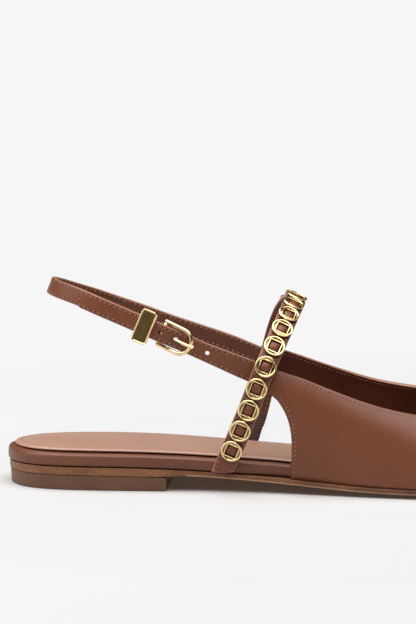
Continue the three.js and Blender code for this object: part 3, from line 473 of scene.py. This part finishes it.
def strap_piece(node, wall, middle_of, seam_margin, pitch, rounding, bare_ends=False):
    """A strap with its leather, lining and painted edge, sewn along both faces."""
    strap = copied(node)
    faces = set(thin_faces(strap, wall))
    for face in strap.faces:
        if face not in faces:
            face.material_index = 2
        else:
            face.material_index = 0 if looks_out(face, middle_of(face.calc_center_median())) else 1
    sides = [e for e in strap.edges if len({f.material_index for f in e.link_faces}) == 2]
    if rounding:
        held(strap, sides, 0.6)
    else:
        crisp(strap, math.radians(50))
    ends = [f for f in strap.faces if bare_ends and f.material_index == 2 and f.normal.z < -0.8]
    seams = {}
    for side, index in (("outer", 0), ("inner", 1)):
        chosen = [face for face in strap.faces if face.material_index == index]
        seams[side] = seam_lines(strap, chosen, seam_margin, unsewn=ends)
    finishes = [upper_leather, strap_lining, edge_paint_and_highlight]
    piece = piece_of(f"{node}_leather", strap, finishes, [node], rounding=rounding)
    if not rounding:
        fair(piece)
    for side, lines in seams.items():
        sewn(f"{node}_{side}_stitches", lines, piece, pitch)


strap_lining = soft_leather("strap lining leather", tone(91, 53, 36), tone(82, 45, 30), matt=0.5, shine=0.25)
heel_loop_centre = -0.06


def loop_middle(point):
    """The middle of the heel loop, level with a point of it."""
    return Vector((max(point.x, heel_loop_centre), 0, point.z))


strap_wall = 0.0019
strap_margin = 0.0007
strap_pitch = 0.0022
strap_piece("sling_strap", strap_wall, loop_middle, strap_margin, strap_pitch, rounding=2)
strap_piece("tip_strap", strap_wall, loop_middle, strap_margin, strap_pitch, rounding=0)


# Instep strap: a band of the same leather that stands on the outsole on the outer side. On the inner side
# it is sewn to a dark ribbed elastic, which gives when the shoe is put on.
def instep_middle(point):
    """The middle of the foot under the instep strap."""
    return Vector((point.x, 0, 0.03))


def elastic_finish(name, main, deep):
    """Woven elastic with level ribs, a rib every 0.75 mm of its height, with painted shade in the grooves."""
    finish, place = new_finish(name)
    ribs = wired(
        finish,
        "ShaderNodeTexWave",
        {"Vector": place, "Scale": 420.0, "Distortion": 0.6, "Detail": 1.0},
        wave_type="BANDS",
        bands_direction="Z",
    ).outputs["Fac"]
    weave = noise(finish, place, 2200.0, 1.0)
    # The deep colour lies in the grooves between the ribs, where the bump is low: painted shade.
    tinted = lightened(finish, blended(finish, ribs, deep, main), spread(finish, weave, 0.75, 1.2))
    surfaced(finish, {"Base Color": tinted, "Roughness": 0.85, "Sheen Weight": 0.2}, ribs, 0.8, 0.0003)
    return finish


instep_wall = 0.0017
instep_margin = 0.001
instep_pitch = 0.002
strap_piece(
    "cross_strap", instep_wall, instep_middle, instep_margin, instep_pitch, rounding=2, bare_ends=True
)
ribbed_elastic = elastic_finish("ribbed elastic", tone(91, 55, 42), tone(53, 29, 22))
elastic = copied("elastic_gore")
piece_of("elastic_band", elastic, [ribbed_elastic], ["elastic_gore"], rounding=1)


# Buckle: a horseshoe of round gold-plated wire whose straight bar lies under the holed strap, with a prong
# through the strap. Each is dressed in the directions that its own CAD solid has.
def corners_of(parts):
    """The corners among some parts of a shape."""
    return [part for part in parts if isinstance(part, bmesh.types.BMVert)]


def directions_of(node, middle):
    """A small part's centre and its directions: along its length, across, and out."""
    rounds_out, rounds_along = 200, 400
    mesh = cad[node].data
    facing = Matrix(((0, 0, 0), (0, 0, 0), (0, 0, 0)))
    for face in mesh.polygons:
        normal = face.normal
        for row in range(3):
            for column in range(3):
                facing[row][column] += face.area * normal[row] * normal[column]
    out = Vector((0.3, -1, 0.2))
    for _ in range(rounds_out):
        out = (facing @ out).normalized()
    centre = sum((v.co for v in mesh.vertices), Vector()) / len(mesh.vertices)
    if out.dot(centre - middle) < 0:
        out.negate()
    flat = Matrix.Identity(3)
    for row in range(3):
        for column in range(3):
            flat[row][column] -= out[row] * out[column]
    level = flat @ facing @ flat
    first = (flat @ Vector((1, 0.1, -0.4))).normalized()
    for _ in range(rounds_along):
        first = (level @ first).normalized()
    return centre, first, out.cross(first), out


def gold(name, roughness, colour=(250, 228, 178), deep=(232, 202, 142)):
    """Polished pale gold plating with faint hand marks."""
    finish, place = new_finish(name)
    marks = noise(finish, place, 300.0, 2.0)
    shade = blended(finish, spread(finish, marks, 0.0, 1.0), tone(*deep), tone(*colour))
    rough = spread(finish, marks, roughness, roughness + 0.08)
    surfaced(finish, {"Base Color": shade, "Roughness": rough, "Metallic": 1.0}, marks, 0.05, 0.00005)
    return finish


plating = gold("gold plating", 0.12)


def local_box(node, centre, axes):
    """The lowest and highest place of a CAD solid along three directions from its centre."""
    reach = [[(v.co - centre).dot(axis) for v in cad[node].data.vertices] for axis in axes]
    return [(min(values), max(values)) for values in reach]


buckle_middle = Vector((-0.06, 0, 0.06))
centre, first, second, out = directions_of("buckle_frame", buckle_middle)
extents = local_box("buckle_frame", centre, (first, second))
longer_first = extents[0][1] - extents[0][0] > extents[1][1] - extents[1][0]
along = first if longer_first else second
if along.x < 0:
    along = -along
across = out.cross(along)
(rear, front), (low, high), (under, over) = local_box("buckle_frame", centre, (along, across, out))
wire_radius = 0.0008
bar_radius = 0.0007
half_width = (high - low) / 2 - wire_radius
centre = centre + across * (high + low) / 2
bend_centre = front - wire_radius - half_width
wire_level = (under + over) / 2
buckle = bmesh.new()
section_turn = Matrix.Rotation(math.pi / 2, 4, "Y")
bmesh.ops.create_circle(
    buckle,
    segments=20,
    radius=wire_radius,
    matrix=Matrix.Translation((rear, -half_width, wire_level)) @ section_turn,
)
end_loop = buckle.edges[:]
drawn = bmesh.ops.extrude_edge_only(buckle, edges=end_loop)["geom"]
bmesh.ops.translate(buckle, verts=corners_of(drawn), vec=(bend_centre - rear, 0, 0))
bend = bmesh.ops.spin(
    buckle,
    geom=[part for part in drawn if not isinstance(part, bmesh.types.BMFace)],
    cent=(bend_centre, 0, wire_level),
    axis=(0, 0, 1),
    angle=math.pi,
    steps=24,
)["geom_last"]
bend_end = [part for part in bend if isinstance(part, bmesh.types.BMEdge)]
last_arm = bmesh.ops.extrude_edge_only(buckle, edges=bend_end)["geom"]
bmesh.ops.translate(buckle, verts=corners_of(last_arm), vec=(rear - bend_centre, 0, 0))
bmesh.ops.holes_fill(buckle, edges=buckle.edges, sides=0)
arm_ends = [edge for edge in buckle.edges if edge.calc_face_angle(0) > math.radians(60)]
bmesh.ops.bevel(
    buckle, geom=arm_ends, offset=0.6 * wire_radius, affect="EDGES", segments=4, profile=0.5, material=-1
)
bar_place = rear + bar_radius
bmesh.ops.create_cone(
    buckle,
    cap_ends=True,
    segments=14,
    radius1=bar_radius,
    radius2=bar_radius,
    depth=2 * half_width,
    matrix=Matrix.Translation((bar_place, 0, wire_level)) @ Matrix.Rotation(math.pi / 2, 4, "X"),
)
bmesh.ops.recalc_face_normals(buckle, faces=buckle.faces)
bmesh.ops.transform(buckle, matrix=lying(centre, along, across, out), verts=buckle.verts)
piece_of("buckle_wire", buckle, [plating], ["buckle_frame"])

prong = copied("buckle_prong")
crisp(prong, math.radians(50))
piece_of("prong_wire", prong, [plating], ["buckle_prong"])


# Keeper: a plain gold plate with a raised rim round a polished field, on a flat band that holds the
# tip of the strap down. The field's dark gold is a painted reflection of the dim room.
# The field's darker gold is a painted reflection of the dim room.
reflection_darkened_field = gold("keeper's field darkened as painted reflection", 0.16, colour=(104, 84, 54), deep=(84, 66, 40))
rim_width = 0.00045
rim_slope = 0.0001
field_depth = 0.0003
plate_rounding = 0.00022
keeper = bmesh.new()
keeper.from_mesh(cad["keeper"].data)
bmesh.ops.remove_doubles(keeper, verts=keeper.verts, dist=same_place)
bmesh.ops.dissolve_limit(
    keeper, angle_limit=math.radians(2), verts=keeper.verts, edges=keeper.edges, use_dissolve_boundaries=False
)
keeper.normal_update()
centre, first, second, out = directions_of("keeper", buckle_middle)
plate_face = max((f for f in keeper.faces if f.normal.dot(out) > 0.99), key=lambda f: f.calc_area())
bmesh.ops.inset_region(keeper, faces=[plate_face], thickness=rim_width, use_even_offset=True)
bmesh.ops.inset_region(
    keeper, faces=[plate_face], thickness=rim_slope, depth=-field_depth, use_even_offset=True
)
plate_face.material_index = 1
plate_edges = [
    edge
    for edge in keeper.edges
    if edge.calc_face_angle(0) > math.radians(60) and any(f.normal.dot(out) > 0.99 for f in edge.link_faces)
]
bmesh.ops.bevel(
    keeper, geom=plate_edges, offset=plate_rounding, affect="EDGES", segments=3, profile=0.5, material=-1
)
crisp(keeper, math.radians(40))
keeper_piece = piece_of("keeper_plate", keeper, [plating, reflection_darkened_field], ["keeper"])
fair(keeper_piece)


# Gold rings: cast round plates riveted in a row to the instep strap. Each has a raised round rim, a sunk
# field and a raised square window whose corners meet the rim, and the leather shows through it. The
# field's darker gold is a painted reflection of the dim room.
rim_radius = 0.0004
plate_thickness = 0.00055
window_bar = 0.00045
bar_height = 0.00105
bar_rounding = 0.00016
field_fall = 0.00035
under_foot = Vector((-0.03, 0, 0.03))


def cast_ring(outer_radius, thick, window):
    """A ring on its own axes: its rivet's axis is Z and its window is square to X and Y."""
    ring = bmesh.new()
    upright = Matrix.Rotation(math.pi / 2, 4, "X")
    profile = Matrix.Translation((outer_radius - rim_radius, 0, thick - rim_radius)) @ upright
    bmesh.ops.create_circle(ring, segments=10, radius=rim_radius, matrix=profile)
    bmesh.ops.spin(
        ring, geom=ring.verts[:] + ring.edges[:], axis=(0, 0, 1), angle=2 * math.pi, steps=40, use_merge=True
    )
    rim = set(ring.faces)
    bmesh.ops.create_circle(ring, segments=40, radius=outer_radius - rim_radius)
    square = bmesh.ops.create_circle(
        ring, segments=4, radius=window * math.sqrt(2), matrix=Matrix.Rotation(math.pi / 4, 4, "Z")
    )["verts"]
    sides = {edge for corner in square for edge in corner.link_edges}
    bmesh.ops.subdivide_edges(ring, edges=list(sides), cuts=9)
    loose = [edge for edge in ring.edges if not edge.link_faces]
    plate = bmesh.ops.bridge_loops(ring, edges=loose)["faces"]
    raised = corners_of(bmesh.ops.extrude_face_region(ring, geom=plate, use_keep_orig=True)["geom"])
    bmesh.ops.translate(ring, verts=raised, vec=(0, 0, plate_thickness))
    inner = [corner for corner in raised if max(abs(corner.co.x), abs(corner.co.y)) < 1.01 * window]
    bmesh.ops.translate(ring, verts=inner, vec=(0, 0, field_fall))
    for face in ring.faces:
        face.material_index = 0 if face in rim else 1
    before = set(ring.faces)
    grid = bmesh.ops.create_grid(ring, x_segments=1, y_segments=1, size=window + window_bar)["verts"]
    opening = grid[0].link_faces[0]
    bar = bmesh.ops.inset_region(
        ring, faces=[opening], thickness=window_bar, use_boundary=True, use_even_offset=True
    )["faces"]
    bmesh.ops.delete(ring, geom=[opening], context="FACES_ONLY")
    tops = corners_of(bmesh.ops.extrude_face_region(ring, geom=bar, use_keep_orig=True)["geom"])
    bmesh.ops.translate(ring, verts=tops, vec=(0, 0, bar_height))
    top_edges = {edge for corner in tops for edge in corner.link_edges if edge.other_vert(corner) in tops}
    bmesh.ops.recalc_face_normals(ring, faces=ring.faces)
    rounded = [edge for edge in top_edges if edge.calc_face_angle(0) > math.radians(60)]
    bmesh.ops.bevel(
        ring, geom=rounded, offset=bar_rounding, affect="EDGES", segments=3, profile=0.5, material=-1
    )
    for face in set(ring.faces) - before:
        face.material_index = 0
    crisp(ring, math.radians(40))
    return ring


# The field's darker gold is a painted reflection of the dim room.
reflection_darkened_ring_field = gold("sunk field of a ring darkened as painted reflection", 0.07, colour=(158, 130, 84), deep=(118, 94, 56))
window_swell = 0.00125
window_leather = bmesh.new()
pillow = window_leather.edges.layers.float.new("crease_edge")
for node in sorted(name for name in cad if name.startswith("stud_")):
    centre, first, second, out = directions_of(node, under_foot)
    inward = [
        face
        for face in cad[node].data.polygons
        if abs(face.normal.dot(out)) < 0.1 and (face.center - centre).dot(face.normal) < 0
    ]
    side = inward[0].normal.normalized()
    across = out.cross(side)
    box = local_box(node, centre, (side, across, out))
    window = abs((inward[0].center - centre).dot(side))
    ring = cast_ring((box[0][1] - box[0][0]) / 2, box[2][1] - box[2][0], window)
    seat = centre + side * sum(box[0]) / 2 + across * sum(box[1]) / 2 + out * box[2][0]
    lie = lying(seat, side, across, out)
    bmesh.ops.transform(ring, matrix=lie, verts=ring.verts)
    ring_piece = piece_of(node.replace("stud", "ring"), ring, [plating, reflection_darkened_ring_field], [node])
    fair(ring_piece)
    swell = Matrix.Diagonal((2 * window, 2 * window, 2 * window_swell, 1))
    corners = bmesh.ops.create_cube(window_leather, size=1, matrix=lie @ swell)["verts"]
    for edge in {edge for corner in corners for edge in corner.link_edges}:
        upright = (edge.verts[1].co - edge.verts[0].co).normalized().dot(out)
        edge[pillow] = 0.9 if abs(upright) > 0.9 else 0.1
piece_of("leather_in_the_rings", window_leather, [upper_leather], [], rounding=3)


# Floor, light and camera: pale studio paper under a wide softbox and a weak one at the heel, in a dim
# room. Further out the paper glows white and fades into the horizon, and under the shoe it glows faintly
# and warmly, as leather throws light back. The camera looks from low down, and the toe leaves its frame.
floor_drop = 0.0003
studio_white = 0.921
lit_circle, glowing_from = 0.2, 0.5
glow_lead = 0.004
warm_edge = 0.01
warm_shadow = (1, 0.68, 0.5, 1)
under_glow = 0.05
thrown_from, thrown_to = 0.1, 0.19
along_the_shoe = (1.0, 2.6, 1.0)
near_depth, far_depth = -0.26, 0.3
near_falloff_paint, far_falloff_paint = 0.461, 0.505
white_up_to, dim_from, dim_room = 0.035, 0.12, 0.08
floor = bmesh.new()
bmesh.ops.create_circle(
    floor, cap_ends=True, segments=64, radius=6, matrix=Matrix.Translation((0, 0, -floor_drop))
)
paper, paper_place = new_finish("pale studio floor")
distance = wired(paper, "ShaderNodeVectorMath", {0: paper_place}, operation="LENGTH").outputs["Value"]
lit = ranged(paper, distance, lit_circle, glowing_from, 1.0, 0.0)
glow = ranged(paper, distance, lit_circle - glow_lead, glowing_from - glow_lead, 0.0, studio_white)
shoe_place = wired(paper, "ShaderNodeMapping", {"Vector": paper_place, "Scale": along_the_shoe})
squeezed = {0: shoe_place.outputs["Vector"]}
reach = wired(paper, "ShaderNodeVectorMath", squeezed, operation="LENGTH").outputs["Value"]
thrown_back = ranged(paper, reach, thrown_from, thrown_to, under_glow, 0.0)
glowing = wired(paper, "ShaderNodeMath", {0: glow, 1: thrown_back}, operation="ADD").outputs["Value"]
whiter = ranged(paper, distance, lit_circle - warm_edge, lit_circle, 0.0, 1.0)
depth = wired(paper, "ShaderNodeSeparateXYZ", {"Vector": paper_place}).outputs["Y"]
# The paper is painted a little lighter toward the back, where the lamps light it less, so that it looks
# evenly bright: painted light.
paint = ranged(paper, depth, near_depth, far_depth, near_falloff_paint, far_falloff_paint)
fibres = noise(paper, paper_place, 900.0, 2.0)
paper_inputs = {
    "Base Color": wired(paper, "ShaderNodeMath", {0: lit, 1: paint}, operation="MULTIPLY").outputs["Value"],
    "Roughness": 0.9,
    "Specular IOR Level": 0.0,
    "Emission Color": blended(paper, whiter, warm_shadow, (1, 1, 1, 1)),
    "Emission Strength": glowing,
}
surfaced(paper, paper_inputs, fibres, 0.05, 0.00005)
floor_mesh = bpy.data.meshes.new("floor")
floor.to_mesh(floor_mesh)
floor.free()
floor_mesh.materials.append(paper)
studio_floor = bpy.data.objects.new("studio_floor", floor_mesh)
bpy.context.scene.collection.objects.link(studio_floor)

room = bpy.data.worlds.new("studio room")
bpy.context.scene.world = room
room.use_nodes = True
towards = wired(room, "ShaderNodeTexCoord", {}).outputs["Generated"]
upward = wired(room, "ShaderNodeSeparateXYZ", {"Vector": towards}).outputs["Z"]
horizon_glow = ranged(room, upward, white_up_to, dim_from, studio_white, dim_room)
room.node_tree.links.new(horizon_glow, room.node_tree.nodes["Background"].inputs["Strength"])
room.node_tree.nodes["Background"].inputs["Color"].default_value = (1, 1, 1, 1)
bpy.context.scene.view_settings.view_transform = "Standard"

shoe_middle = Vector((-0.02, 0, 0.03))
softboxes = {
    "top softbox": ((-0.15, -0.3, 1.6), 2.4, 77.0),
    "left softbox": ((-1.7, -0.4, 0.9), 1.2, 10.0),
}
for name, (place, size, power) in softboxes.items():
    lamp = bpy.data.lights.new(name, "AREA")
    lamp.shape = "SQUARE"
    lamp.size = size
    lamp.energy = power
    softbox = bpy.data.objects.new(name, lamp)
    softbox.location = place
    softbox.rotation_euler = (shoe_middle - Vector(place)).to_track_quat("-Z", "Y").to_euler()
    bpy.context.scene.collection.objects.link(softbox)

aim = Vector((-0.05154, 0, 0.06777))
turned, raised_by, away = math.radians(4), math.radians(5.5), 1.0
backward = Vector(
    (math.sin(turned) * math.cos(raised_by), -math.cos(turned) * math.cos(raised_by), math.sin(raised_by))
)
lens = bpy.data.cameras.new("camera")
lens.sensor_width = 36
lens.lens = 145.38
lens.clip_start = 0.01
camera = bpy.data.objects.new("camera", lens)
camera.location = aim + backward * away
camera.rotation_euler = backward.to_track_quat("Z", "Y").to_euler()
bpy.context.scene.collection.objects.link(camera)
bpy.context.scene.camera = camera
